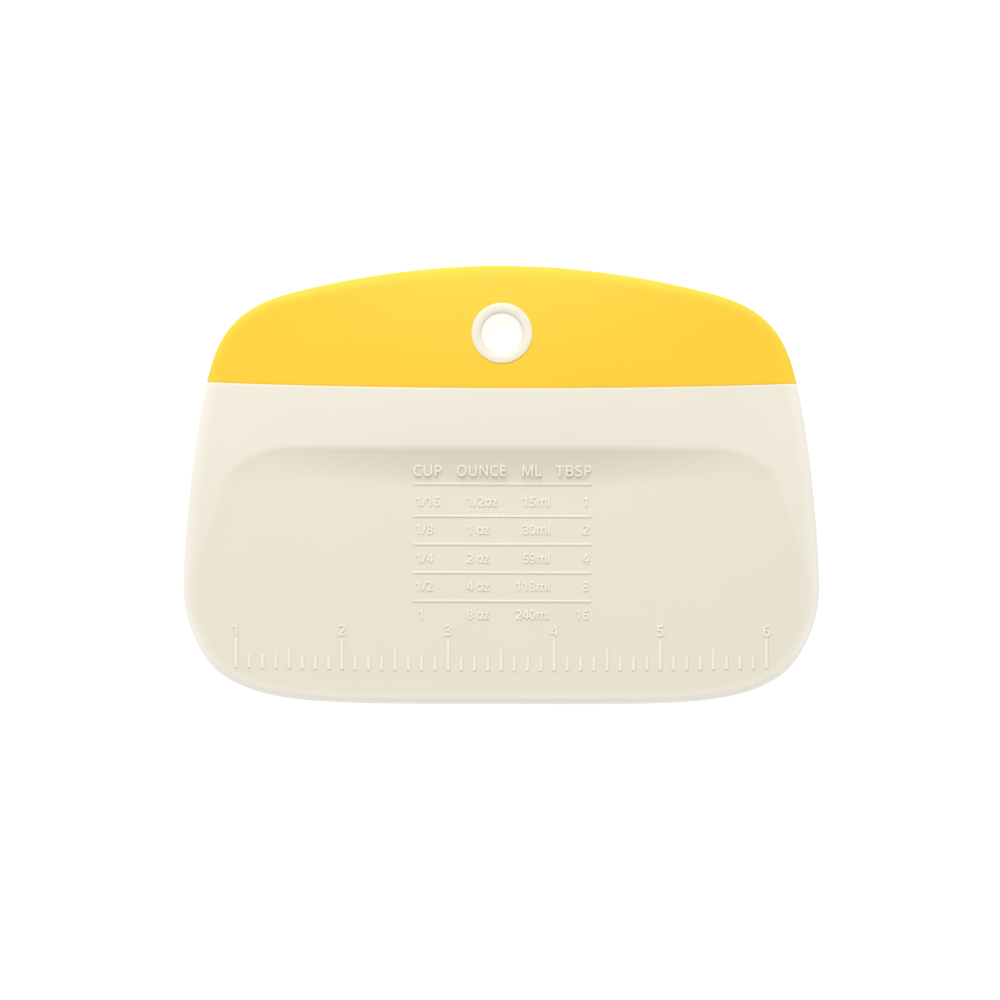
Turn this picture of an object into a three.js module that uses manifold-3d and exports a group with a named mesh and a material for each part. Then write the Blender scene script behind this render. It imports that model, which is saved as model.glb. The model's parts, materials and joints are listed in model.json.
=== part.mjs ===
// A bench scraper: a stiff moulded blade with a scooped face, and a soft grip moulded round its
// tongue. It lies on its back. +X runs across the blade, +Y from the scraping edge to the top of
// the grip and +Z out of the front face, and the origin is under its middle, on the back plane.
// Lengths are in millimetres.
import * as THREE from "three";
import { mergeVertices } from "three/addons/utils/BufferGeometryUtils.js";
import Module from "manifold-3d";

const wasm = await Module();
wasm.setup();

const WIDTH = 152.4;
const HEIGHT = 105;
const GAP = 0.3;
const INCH = 25.4;

// The right half of the outline, from the middle of the scraping edge round to the top of the
// grip. Each knot has its heading in degrees and the reach of its handles before and after it.
const OUTLINE = [
  { x: 0, y: -HEIGHT / 2, heading: 0, before: 42, after: 42 },
  { x: 67.1, y: -45.4, heading: 35.3, before: 13, after: 5.3 },
  { x: WIDTH / 2, y: -25.1, heading: 90, before: 8.2, after: 11.3 },
  { x: 68.6, y: 31.3, heading: 111, before: 13.5, after: 10.2 },
  { x: 48.8, y: 46.3, heading: 166, before: 9.3, after: 15 },
  { x: 0, y: HEIGHT / 2, heading: 180, before: 17.5, after: 17.5 },
];
const CURVE_STEPS = 7;

// The blade's face: a floor that thins towards the scraping edge, under a crowned grip.
const FLOOR_LEVEL = 2.9;
const FLOOR_TOP_Y = 5;
const FLOOR_SLOPE = 0.0264;
const CROWN = 4.7;
const CROWN_REACH = 66;
const CROWN_POWER = 1.4;
const CROWN_PEAK_Y = 24;
const CROWN_FALL = 0.0045;
const RIM_RISE = 0.35;
const RIM_END_Y = -27;

// Round the outline.
const EDGE_ROUNDING_SHARE = 0.45;
const EDGE_ROUNDING_MAX = 2.5;
const SCRAPING_EDGE = 0.6;
const SCRAPING_BEVEL = 1.1;
const BEVEL_FULL_Y = -42;
const BEVEL_END_Y = -26;
const BACK_CHAMFER = 0.4;

// The scoop: its crease is straight, turns down at rounded corners and runs out at the sides.
const CREASE_Y = 9;
const CREASE_HALF = 49;
const CORNER_WIDE = 18;
const CORNER_DEEP = 11;
const CREASE_SIDE = new THREE.Vector2(69.5, -11);
const CREASE_END = new THREE.Vector2(77.5, -30);
const MIDDLE_Y = -22;
const COVE_LEAST = 5.2;
const COVE_PER_RISE = 2.4;
const CUTTER_TOP = 14;

// The seam between blade and grip sags in the middle.
const SEAM_Y = 23.3;
const SEAM_END_X = 70.4;
const SEAM_RISE = 1.4;

// The tongue inside the grip, with the windows that the grip's plugs fill.
const TONGUE_INSET = 5;
const TONGUE_SKIN_SHARE = 0.32;
const TONGUE_ROOT = 2;
const WINDOW_WIDE = 8;
const WINDOW_HIGH = 7;
const WINDOW_ROUND = 2;
const WINDOW_PLACES = [
  { x: 19, y: 36.5 },
  { x: 32, y: 35.5 },
  { x: 45, y: 34 },
];

// The collar round the hang hole.
const HANG_Y = 36.2;
const COLLAR_RADIUS = 7.2;
const BORE_RADIUS = 4.9;
const COLLAR_PROUD = 0.3;
const LIP_WIDE = 1.4;
const LIP_DEEP = 0.6;
const SHOULDER = 0.4;
const ROUND_STEPS = 36;

// The raised ruler and the rules of the conversion table.
const RULER_INCHES = 5;
const RULER_FOOT_Y = -44.5;
const RULER_SAG = 0.7;
const TICK_WIDTH = 0.8;
const TICK_LENGTHS = { inch: 7.3, half: 5.2, eighth: 3.1 };
const MARK_PROUD = 0.3;
const MARK_DEPTH = 1;
const TABLE_HALF = 21.4;
const TABLE_RULE_WIDTH = 0.45;
const TABLE_RULES_Y = [0.3, -7.4, -14.1, -20.9, -27.7];

// The floor's height, which holds its level above the scoop.
function floorHeight(y) {
  return FLOOR_LEVEL - FLOOR_SLOPE * (FLOOR_TOP_Y - Math.min(y, FLOOR_TOP_Y));
}

// How far the front stands over the floor where it isn't scooped.
function rise(x, y) {
  const across = Math.max(0, 1 - (x / CROWN_REACH) ** 2) ** CROWN_POWER;
  const crown = Math.max(0, CROWN - CROWN_FALL * (y - CROWN_PEAK_Y) ** 2);
  const rim = RIM_RISE * THREE.MathUtils.smoothstep(y, RIM_END_Y, FLOOR_TOP_Y);
  return rim + crown * across;
}

const bodyHeight = (x, y) => floorHeight(y) + rise(x, y);

// How far the front drops at an inset from the outline: a rounded edge round the grip and down
// the sides, which turns into the flat bevel of the scraping edge.
function edgeDrop(inset, x, y) {
  const height = bodyHeight(x, y);
  const radius = Math.min(EDGE_ROUNDING_MAX, EDGE_ROUNDING_SHARE * height);
  const left = Math.max(0, radius - inset);
  const rounded = radius - Math.sqrt(radius ** 2 - left ** 2);
  const bevelled = (floorHeight(y) - SCRAPING_EDGE) * Math.max(0, 1 - inset / SCRAPING_BEVEL);
  const roundness = THREE.MathUtils.smoothstep(y, BEVEL_FULL_Y, BEVEL_END_Y);
  return THREE.MathUtils.lerp(bevelled, rounded, roundness);
}

// Points with their outward normals round a closed path, which runs counterclockwise.
function knotsOf(path, steps) {
  const points = path.getPoints(steps).slice(0, -1);
  return points.map((point, k) => {
    const next = points[(k + 1) % points.length];
    const last = points[(k + points.length - 1) % points.length];
    const normal = new THREE.Vector2(next.y - last.y, last.x - next.x).normalize();
    return { point, normal };
  });
}

function addCurve(path, from, to) {
  const start = THREE.MathUtils.degToRad(from.heading);
  const end = THREE.MathUtils.degToRad(to.heading);
  path.bezierCurveTo(
    from.x + from.after * Math.cos(start), from.y + from.after * Math.sin(start),
    to.x - to.before * Math.cos(end), to.y - to.before * Math.sin(end),
    to.x, to.y,
  );
}

function outlinePath() {
  const mirrored = OUTLINE.map((knot) => ({
    x: -knot.x, y: knot.y, heading: 360 - knot.heading, before: knot.after, after: knot.before,
  }));
  const round = [...OUTLINE, ...mirrored.reverse().slice(1)];
  const path = new THREE.Path();
  path.moveTo(round[0].x, round[0].y);
  for (let k = 1; k < round.length; k += 1) {
    addCurve(path, round[k - 1], round[k]);
  }
  return path;
}

// The scoop's outline: its crease and sides, closed well below the scraping edge.
function scoopPath() {
  const below = -HEIGHT / 2 - 8;
  const cornerEnd = new THREE.Vector2(CREASE_HALF + CORNER_WIDE, CREASE_Y - CORNER_DEEP);
  const path = new THREE.Path();
  path.moveTo(0, below);
  path.lineTo(CREASE_END.x, below);
  path.lineTo(CREASE_END.x, CREASE_END.y);
  path.quadraticCurveTo(CREASE_SIDE.x, CREASE_SIDE.y, cornerEnd.x, cornerEnd.y);
  path.absellipse(CREASE_HALF, cornerEnd.y, CORNER_WIDE, CORNER_DEEP, 0, Math.PI / 2, false);
  path.lineTo(0, CREASE_Y);
  path.lineTo(-CREASE_HALF, CREASE_Y);
  path.absellipse(-CREASE_HALF, cornerEnd.y, CORNER_WIDE, CORNER_DEEP, Math.PI / 2, Math.PI, false);
  path.quadraticCurveTo(-CREASE_SIDE.x, CREASE_SIDE.y, -CREASE_END.x, CREASE_END.y);
  path.lineTo(-CREASE_END.x, below);
  path.lineTo(0, below);
  return path;
}

// A lathed disc whose rings are pressed out to a closed outline. A ring lies at an inset from the
// outline, or at a share of the way out from the middle, and has a height for each place on it.
function pressedDisc(knots, rings) {
  const profile = rings.map((ring, k) => new THREE.Vector2(ring.share === 0 ? 0 : 1, k));
  const disc = new THREE.LatheGeometry(profile, knots.length);
  const position = disc.attributes.position;
  for (let k = 0; k < position.count; k += 1) {
    const { point, normal } = knots[Math.floor(k / rings.length) % knots.length];
    const ring = rings[k % rings.length];
    const x = ring.share * (point.x - ring.inset * normal.x);
    const y = MIDDLE_Y + ring.share * (point.y - ring.inset * normal.y - MIDDLE_Y);
    position.setXYZ(k, x, y, ring.height(x, y));
  }
  return disc;
}

const ringAt = (inset, share, height) => ({ inset, share, height });

// A closed geometry as a solid for joining and cutting.
function solidOf(geometry) {
  const bare = geometry.clone();
  bare.deleteAttribute("normal");
  bare.deleteAttribute("uv");
  const merged = mergeVertices(bare, 1e-4);
  const corners = merged.index.array;
  const triangles = [];
  for (let k = 0; k < corners.length; k += 3) {
    const [a, b, c] = corners.slice(k, k + 3);
    if (a !== b && b !== c && c !== a) triangles.push(a, b, c);
  }
  return new wasm.Manifold(new wasm.Mesh({
    numProp: 3,
    vertProperties: new Float32Array(merged.attributes.position.array),
    triVerts: new Uint32Array(triangles),
  }));
}

function geometryOf(solid) {
  const mesh = solid.getMesh();
  const geometry = new THREE.BufferGeometry();
  geometry.setAttribute("position", new THREE.BufferAttribute(mesh.vertProperties, 3));
  geometry.setIndex(new THREE.BufferAttribute(mesh.triVerts, 1));
  geometry.computeVertexNormals();
  return geometry;
}

// The whole outer form of blade and grip, before the scoop is cut.
function envelope() {
  const knots = knotsOf(outlinePath(), CURVE_STEPS);
  const flat = () => 0;
  const rounded = (inset) => (x, y) => bodyHeight(x, y) - edgeDrop(inset, x, y);
  const chamfer = (x, y) => BACK_CHAMFER * Math.min(1, 0.4 * rounded(0)(x, y));
  const insets = [0, 0.35, 1.1, EDGE_ROUNDING_MAX];
  const shares = [0.9, 0.78, 0.64, 0.51, 0.3, 0];
  return solidOf(pressedDisc(knots, [
    ringAt(0, 0, flat),
    ringAt(BACK_CHAMFER, 1, flat),
    ringAt(0, 1, chamfer),
    ...insets.map((inset) => ringAt(inset, 1, rounded(inset))),
    ...shares.map((share) => ringAt(EDGE_ROUNDING_MAX, share, bodyHeight)),
  ]));
}

// How far a place lies inside a closed ring of knots, for places within it.
function depthInside(knots, x, y) {
  const place = new THREE.Vector3(x, y, 0);
  const near = new THREE.Vector3();
  return Math.min(...knots.map(({ point }, k) => {
    const next = knots[(k + 1) % knots.length].point;
    const side = new THREE.Line3(
      new THREE.Vector3(point.x, point.y, 0), new THREE.Vector3(next.x, next.y, 0),
    );
    side.closestPointToPoint(place, true, near);
    return near.distanceTo(place);
  }));
}

// What the scoop takes away: over its floor, up a cove and out through the crease.
function scoopCutter() {
  const knots = knotsOf(scoopPath(), CURVE_STEPS);
  const scooped = (x, y) => {
    const over = rise(x, y);
    const cove = COVE_LEAST + COVE_PER_RISE * over;
    const depth = depthInside(knots, x, y);
    return floorHeight(y) + over * Math.max(0, 1 - depth / cove) ** 2;
  };
  const outside = (x, y) => bodyHeight(x, y) + 3;
  const shares = [1, 0.96, 0.9, 0.82, 0.72, 0.58, 0];
  const upward = [
    ...shares.map((share) => ringAt(0, share, scooped)).reverse(),
    ringAt(-3.5, 1, outside),
    ringAt(-3.5, 1, () => CUTTER_TOP),
    ringAt(0, 0, () => CUTTER_TOP),
  ];
  return solidOf(pressedDisc(knots, upward));
}

// All that lies beyond the seam, moved by an offset along Y.
function beyondSeam(offset) {
  const end = SEAM_Y + SEAM_RISE * (WIDTH / 2 / SEAM_END_X) ** 2;
  const control = 2 * SEAM_Y - end;
  const shape = new THREE.Shape();
  shape.moveTo(-WIDTH / 2, end + offset);
  shape.quadraticCurveTo(0, control + offset, WIDTH / 2, end + offset);
  shape.lineTo(WIDTH / 2, HEIGHT);
  shape.lineTo(-WIDTH / 2, HEIGHT);
  const block = new THREE.ExtrudeGeometry(shape, {
    depth: 2 * CUTTER_TOP, bevelEnabled: false, curveSegments: 24,
  });
  block.translate(0, 0, -CUTTER_TOP);
  return solidOf(block);
}

// One anchor window, as the solid that fills it from front to back.
function windowPlug(x, y, grow) {
  const wide = WINDOW_WIDE / 2 - grow;
  const high = WINDOW_HIGH / 2 - grow;
  const round = WINDOW_ROUND - grow;
  const shape = new THREE.Shape();
  shape.absarc(wide - round, high - round, round, 0, Math.PI / 2, false);
  shape.absarc(round - wide, high - round, round, Math.PI / 2, Math.PI, false);
  shape.absarc(round - wide, round - high, round, Math.PI, 1.5 * Math.PI, false);
  shape.absarc(wide - round, round - high, round, 1.5 * Math.PI, 2 * Math.PI, false);
  const plug = new THREE.ExtrudeGeometry(shape, {
    depth: CUTTER_TOP, bevelEnabled: false, curveSegments: 4,
  });
  plug.translate(x, y, 0);
  return solidOf(plug);
}

// The tongue, or the room that it takes when it is grown by a clearance.
function tongue(grow) {
  const knots = knotsOf(outlinePath(), CURVE_STEPS);
  const inset = TONGUE_INSET - grow;
  const low = (x, y) => TONGUE_SKIN_SHARE * bodyHeight(x, y) - grow;
  const high = (x, y) => (1 - TONGUE_SKIN_SHARE) * bodyHeight(x, y) + grow;
  const shares = [0.9, 0.75, 0.6, 0];
  let plate = solidOf(pressedDisc(knots, [
    ...shares.map((share) => ringAt(inset, share, low)).reverse(),
    ringAt(inset, 1, low),
    ringAt(inset, 1, high),
    ...shares.map((share) => ringAt(inset, share, high)),
  ]));
  for (const { x, y } of WINDOW_PLACES) {
    plate = plate.subtract(windowPlug(x, y, grow)).subtract(windowPlug(-x, y, grow));
  }
  return plate.intersect(beyondSeam(-TONGUE_ROOT));
}

function roundBar(radius) {
  const bar = new THREE.CylinderGeometry(radius, radius, 2 * CUTTER_TOP, ROUND_STEPS);
  bar.rotateX(Math.PI / 2);
  bar.translate(0, HANG_Y, 0);
  return solidOf(bar);
}

// The collar: a turned tube that stands a little proud of the grip's sloping front all round, with
// a lip that rolls into the bore.
function collar() {
  const middle = bodyHeight(0, HANG_Y);
  const top = middle + COLLAR_PROUD;
  const profile = new THREE.Path();
  profile.moveTo(BORE_RADIUS, BACK_CHAMFER);
  profile.lineTo(BORE_RADIUS + BACK_CHAMFER, 0);
  profile.lineTo(COLLAR_RADIUS - BACK_CHAMFER, 0);
  profile.lineTo(COLLAR_RADIUS, BACK_CHAMFER);
  profile.lineTo(COLLAR_RADIUS, top - SHOULDER / 2);
  profile.lineTo(COLLAR_RADIUS - SHOULDER, top);
  profile.absellipse(
    BORE_RADIUS + LIP_WIDE, top - LIP_DEEP, LIP_WIDE, LIP_DEEP, Math.PI / 2, Math.PI, false,
  );
  profile.lineTo(BORE_RADIUS, BACK_CHAMFER);
  const tube = new THREE.LatheGeometry(profile.getPoints(3), ROUND_STEPS);
  tube.rotateX(Math.PI / 2);
  tube.translate(0, HANG_Y, 0);
  const position = tube.attributes.position;
  for (let k = 0; k < position.count; k += 1) {
    const level = position.getZ(k);
    const slope = bodyHeight(position.getX(k), position.getY(k)) - middle;
    if (level > middle / 2) position.setZ(k, level + slope);
  }
  return solidOf(tube);
}

// A straight raised mark on the sloping floor, with its foot at y.
function mark(x, y, wide, long) {
  const bar = new THREE.BoxGeometry(wide, long, MARK_DEPTH);
  bar.translate(0, long / 2, MARK_PROUD - MARK_DEPTH / 2);
  bar.rotateX(Math.atan(FLOOR_SLOPE));
  bar.translate(x, y, floorHeight(y));
  return solidOf(bar);
}

function tickLength(eighth) {
  if (eighth % 8 === 0) return TICK_LENGTHS.inch;
  return eighth % 4 === 0 ? TICK_LENGTHS.half : TICK_LENGTHS.eighth;
}

// The ruler's ticks, whose feet sag towards the middle as the scraping edge does.
function rulerTicks() {
  const count = 8 * RULER_INCHES + 1;
  return Array.from({ length: count }, (_, eighth) => {
    const x = (eighth / 8 - RULER_INCHES / 2) * INCH;
    const foot = RULER_FOOT_Y + RULER_SAG * (x / (RULER_INCHES / 2) / INCH) ** 2;
    return mark(x, foot, TICK_WIDTH, tickLength(eighth));
  });
}

function tableRules() {
  return TABLE_RULES_Y.map((y) => mark(0, y - TABLE_RULE_WIDTH / 2, 2 * TABLE_HALF, TABLE_RULE_WIDTH));
}

function bladeCore() {
  let core = envelope().subtract(beyondSeam(-GAP / 2)).subtract(scoopCutter());
  core = core.add(tongue(0)).subtract(roundBar((COLLAR_RADIUS + BORE_RADIUS) / 2)).add(collar());
  for (const raised of [...rulerTicks(), ...tableRules()]) {
    core = core.add(raised);
  }
  return core;
}

function softGrip() {
  const shell = envelope().intersect(beyondSeam(GAP / 2));
  return shell.subtract(tongue(GAP)).subtract(roundBar(COLLAR_RADIUS + GAP));
}

function named(name, solid, material) {
  const mesh = new THREE.Mesh(geometryOf(solid), new THREE.MeshStandardMaterial(material));
  mesh.name = name;
  return mesh;
}

const scraper = new THREE.Group();
scraper.add(
  named("blade_core", bladeCore(), { color: "#ece6d4", roughness: 0.5, metalness: 0 }),
  named("soft_grip", softGrip(), { color: "#fed544", roughness: 0.6, metalness: 0 }),
);

export default scraper;
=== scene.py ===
"""A bench scraper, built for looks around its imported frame.

The blade and the grip are one outer form, cut at the seam. The form is a flat triangulation of the
outline, with rows of vertices along every edge, crease and seam, lifted to a height at each vertex.
Lengths are in metres, +X runs across the blade, +Y from the scraping edge to the top of the grip
and +Z out of the front face.
"""

import json
import math
import os

import bpy
import numpy as np
from bpy.props import FloatProperty, FloatVectorProperty, PointerProperty
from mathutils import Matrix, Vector
from mathutils.geometry import delaunay_2d_cdt, interpolate_bezier
from mathutils.kdtree import KDTree


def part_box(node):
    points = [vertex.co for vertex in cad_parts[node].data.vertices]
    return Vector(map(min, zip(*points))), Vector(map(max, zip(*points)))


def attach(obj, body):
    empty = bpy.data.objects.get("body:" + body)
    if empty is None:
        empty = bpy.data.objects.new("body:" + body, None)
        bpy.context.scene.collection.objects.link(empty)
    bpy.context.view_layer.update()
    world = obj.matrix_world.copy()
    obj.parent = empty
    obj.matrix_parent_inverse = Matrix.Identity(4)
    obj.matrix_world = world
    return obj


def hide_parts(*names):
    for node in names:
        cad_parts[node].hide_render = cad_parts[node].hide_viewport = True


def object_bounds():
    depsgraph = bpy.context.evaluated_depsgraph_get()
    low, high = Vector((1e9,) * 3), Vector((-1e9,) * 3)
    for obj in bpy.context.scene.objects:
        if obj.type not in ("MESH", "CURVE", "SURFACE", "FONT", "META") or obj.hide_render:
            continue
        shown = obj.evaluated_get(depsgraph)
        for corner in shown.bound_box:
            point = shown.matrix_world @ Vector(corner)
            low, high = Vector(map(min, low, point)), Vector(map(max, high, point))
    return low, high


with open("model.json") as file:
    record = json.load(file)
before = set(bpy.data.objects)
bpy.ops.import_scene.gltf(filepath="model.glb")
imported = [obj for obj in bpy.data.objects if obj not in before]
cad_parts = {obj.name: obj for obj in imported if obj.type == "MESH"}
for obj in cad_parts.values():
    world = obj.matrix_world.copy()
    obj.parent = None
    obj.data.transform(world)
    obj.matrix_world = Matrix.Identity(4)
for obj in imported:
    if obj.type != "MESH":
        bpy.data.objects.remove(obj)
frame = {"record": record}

bl_info = {
    "name": "Bench Scraper",
    "version": (1, 0, 0),
    "blender": (4, 5, 0),
    "location": "3D View > Sidebar > Scraper",
    "description": "Builds a moulded bench scraper with a soft grip around its packed frame",
    "category": "Add Mesh",
}

MM = 0.001
CAD_LOW, CAD_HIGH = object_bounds()
GRIP_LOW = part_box("soft_grip")[0]
HANG_LOW, HANG_HIGH = (Vector(c) for c in frame["record"]["physics"]["openings"][0]["box_m"])

# The outline's curve dips by a hair under its lowest knot, which stands up by this much to allow it.
OUTLINE_MARGIN = 0.005 * MM

# The outline's right half as knots: place, heading in degrees, and reach before and after it.
OUTLINE_KNOTS = (
    (0.0, CAD_LOW.y + OUTLINE_MARGIN, 0, 42.0 * MM, 42.0 * MM),
    (67.1 * MM, -45.4 * MM, 35.3, 13.0 * MM, 5.3 * MM),
    (CAD_HIGH.x, -25.1 * MM, 90, 8.2 * MM, 11.3 * MM),
    (68.6 * MM, 31.3 * MM, 111, 13.5 * MM, 10.2 * MM),
    (48.8 * MM, 46.3 * MM, 166, 9.3 * MM, 15.0 * MM),
    (0.0, CAD_HIGH.y, 180, 17.5 * MM, 17.5 * MM),
)
OUTLINE_STEP = 0.7 * MM
CURVE_STEPS = 200

# The face: how its floor thins, how the grip's crown spreads and where the side rims run out.
FLOOR_TOP_Y = 5.0 * MM
FLOOR_SLOPE = 0.0264
CROWN = 4.7 * MM
CROWN_REACH = 66.0 * MM
CROWN_POWER = 1.4
CROWN_PEAK_Y = 24.0 * MM
CROWN_FALL = 4.5
RIM_RISE = 0.35 * MM
RIM_END_Y = -27.0 * MM

# Round the outline.
EDGE_ROUNDING_SHARE = 0.45
EDGE_ROUNDING_MAX = 2.5 * MM
EDGE_SPREAD = 1.25
EDGE_EASE = 1.3
BEVEL_SPREAD = 1.4
BEVEL_EASE = 1.5
BEVEL_FULL_Y = -51.5 * MM
BEVEL_END_Y = -36.0 * MM
BACK_ROUNDING = 0.4 * MM
BACK_ROUNDING_AT_EDGE = 0.12 * MM

# The scoop's crease: straight, with rounded corners, then out to the sides.
CREASE_HALF = 49.0 * MM
CORNER_WIDE = 18.0 * MM
CORNER_DEEP = 11.0 * MM
CREASE_SIDE = (69.5 * MM, -11.0 * MM)
CREASE_END = (77.5 * MM, -30.0 * MM)
CREASE_SOFTNESS = 0.8 * MM
COVE_LEAST = 5.2 * MM
COVE_PER_RISE = 2.4
CREASE_STEPS = 60

# The seam sags in the middle, and a fine parting groove runs along it.
SEAM_END_X = 70.4 * MM
SEAM_RISE = 1.4 * MM
PARTING = 0.004 * MM
GROOVE_WIDTH = 0.6 * MM
GROOVE_DEPTH = 0.1 * MM

# The scoop is closed this far below the scraping edge, and the seam's line is longer than the grip is
# wide by this factor, so that both reach past the outline.
SCOOP_OVERRUN = 10.0 * MM
SEAM_OVERRUN = 1.2

# Rows of vertices beside each line of the form.
EDGE_ROWS = tuple(
    d * MM for d in (0.02, 0.07, 0.15, 0.26, 0.4, 0.6, 0.85, 1.1, 1.4, 1.75, 2.15, 2.6, 3.1, 3.7)
)
ROWS_OVER_CREASE = tuple(d * MM for d in (-1.6, -1.1, -0.8, -0.53, -0.27))
ROWS_UNDER_CREASE = tuple(
    d * MM for d in (0, 0.27, 0.53, 0.8, 1.2, 1.8, 2.7, 3.8, 5.1, 6.7, 8.5, 10.5)
)
GROOVE_ROWS = tuple(d * MM for d in (0.08, 0.18, 0.3, 0.44, 0.6, 0.95))
FIELD_STEP = 1.3 * MM
CLEAR_OF_ROWS = 0.75 * MM

# How far a row may lie off its distance, how near a vertex lies to the seam to be on it, how near two
# vertices are to be one, and the angle between two faces that shows as an edge.
ROW_SLACK = 0.05 * MM
SEAM_SLACK = 0.001 * MM
WELD_DISTANCE = 0.0001 * MM
SHARP_ANGLE = 38

# The collar: its lip and shoulder, and the shares of the crown's height between which it turns from
# level to following the grip.
COLLAR_PROUD = 0.3 * MM
LIP_WIDE, LIP_DEEP = 1.4 * MM, 0.6 * MM
SHOULDER, SHOULDER_DROP = 0.4 * MM, 0.07 * MM
COLLAR_LEVEL_END, COLLAR_FOLLOW_START = 0.3, 0.7
ROUND_STEPS = 144
LIP_STEPS = 8
WALL_START, WALL_END, WALL_ROWS = 0.15, 0.85, 6

# The camera: what its frame spans at the blade's face, how far it stands off the back and beside the
# middle, and its roll in degrees.
FRAME_WIDTH = 239.5 * MM
FACE_HEIGHT = 1.5 * MM
CAMERA_HEIGHT = 0.85
CAMERA_SHIFT = (-0.35 * MM, -3.55 * MM)
CAMERA_ROLL = 0.15
SENSOR_WIDTH = 36.0

# The studio: the floor, the even light from all round and the key light.
FLOOR_REACH = 3.0
FLOOR_DROP = 0.03 * MM
FLOOR_ROUGHNESS = 0.9
FLOOR_GLOW = 0.66
SKY_STRENGTH = 0.76
KEY_PLACE = (-0.09, 0.5, 0.5)
KEY_SIZE = 0.45
KEY_POWER = 2.85
WHITE = (1.0, 1.0, 1.0, 1.0)

# The conversion table: where its rules and columns stand, and what its rows say.
TABLE_RULES_Y = tuple(y * MM for y in (0.3, -7.4, -14.1, -20.9, -27.7))
TABLE_LEFT, TABLE_RIGHT = -21.1 * MM, 21.5 * MM
RULE_THICKNESS = 0.5 * MM
RULE_STEPS = 60
HEADER_Y = 3.45 * MM
HEADER_CAP = 2.45 * MM
ROWS_Y = tuple(y * MM for y in (-3.95, -10.65, -17.5, -24.2, -31.0))
ROW_CAP = 2.1 * MM
ROW_TRACKING = 0.97
HEADER_LEVELLING = 0.6
HEADINGS = (
    ("CUP", "LEFT", -21.2 * MM, 1.06),
    ("OUNCE", "CENTER", -4.8 * MM, 1.02),
    ("ML", "LEFT", 4.7 * MM, 0.98),
    ("TBSP", "RIGHT", 21.6 * MM, 1.07),
)
COLUMNS = (("LEFT", -20.6 * MM), ("LEFT", -8.3 * MM), ("RIGHT", 11.7 * MM), ("RIGHT", 21.1 * MM))
TABLE_ROWS = (
    ("1/16", "1/2oz", "15ml", "1"),
    ("1/8", "1 oz", "30ml", "2"),
    ("1/4", "2 oz", "59ml", "4"),
    ("1/2", "4 oz", "118ml", "8"),
    (" 1", "8 oz", "240ml", "16"),
)

# The ruler.
INCH = 25.4 * MM
RULER_INCHES = 5
RULER_FOOT_Y = -44.5 * MM
RULER_SAG = 0.7 * MM
TICK_INCH, TICK_HALF, TICK_EIGHTH = 7.3 * MM, 5.2 * MM, 3.1 * MM
TICK_STEPS = 6
RULER_DIGIT_Y = -34.8 * MM
RULER_DIGIT_CAP = 2.5 * MM

# Raised marks: how their tops are rounded, what is added to the strokes of letters, and the font.
MARK_ROUNDING = 0.1 * MM
MARK_ROUNDING_STEPS = 2
LETTER_WEIGHT = 0.09 * MM
PLAIN_FONT = os.path.join(
    bpy.utils.system_resource("DATAFILES", path="fonts"), "NotoSansMath-Regular.woff2"
)
PLAIN_CAP_SHARE = 0.48
BUILT_IN_CAP_SHARE = 0.685

# Where the plastic is painted paler. Towards the outline, and more so beside the scraping edge, this is
# painted light on the rounded edges and the bevel. Where it is thin it is partly the thin plastic's own
# paler tone and partly painted light on the bevel. The land above the scoop gets a painted highlight,
# which starts where this share of the rise is left.
EDGE_REACH = 4.0 * MM
EDGE_PAINTED_LIGHT = 0.35
LOW_EDGE_REACH = 1.8 * MM
LOW_EDGE_PAINTED_LIGHT = 0.42
LOW_EDGE_Y = (-40.0 * MM, -15.0 * MM)
LOW_EDGE_X = (20.0 * MM, 50.0 * MM)
THINNEST, THIN_END = 0.5 * MM, 1.6 * MM
LAND_START = 0.85

# The finishes: each with the colour that thin plastic and the painted light at the edges turn towards,
# and the painted highlight on the land. Then how much paler than the blade its polished parts are
# painted, a painted highlight on the tops of the raised marks and the collar.
HARD_FINISH = {
    "ior": 1.49, "grain": 0.22 * MM, "rough": 0.42, "bump": 0.35,
    "cloud_dark": 0.985, "cloud_light": 1.012, "wear": 0.35, "wear_lift": 0.03,
    "thin_and_painted_light_colour": (0.95, 0.93, 0.875), "land_painted_highlight": (1.036, 1.04, 1.07),
}
POLISHED_FINISH = {**HARD_FINISH, "rough": 0.3, "bump": 0.1}
SOFT_FINISH = {
    "ior": 1.5, "grain": 0.14 * MM, "rough": 0.58, "bump": 0.5,
    "cloud_dark": 0.97, "cloud_light": 1.02, "wear": 0.2, "wear_lift": 0.02,
    "thin_and_painted_light_colour": (0.93, 0.68, 0.05), "land_painted_highlight": (1.0, 1.0, 1.0),
}
RELIEF_PAINTED_HIGHLIGHT = 1.115
COLLAR_PAINTED_HIGHLIGHT = 1.04
CLOUD_SIZE = 18.0 * MM
GRAIN_DEPTH = 0.02 * MM
ROUGHNESS_SPREAD = 0.05
EDGE_POLISH = 0.18
SCUFF_TURN = 0.12
SCUFF_SCALE = (2600.0, 60.0, 60.0)
SCUFF_PATCH_SCALE = 70.0


# The form

def evenly_spaced(points, step):
    """The same line with its points about a step apart."""
    points = np.asarray(points, float)
    along = np.concatenate([[0], np.cumsum(np.linalg.norm(np.diff(points, axis=0), axis=1))])
    places = np.linspace(0, along[-1], max(2, round(along[-1] / step) + 1))
    return np.column_stack([np.interp(places, along, points[:, k]) for k in range(2)])


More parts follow.
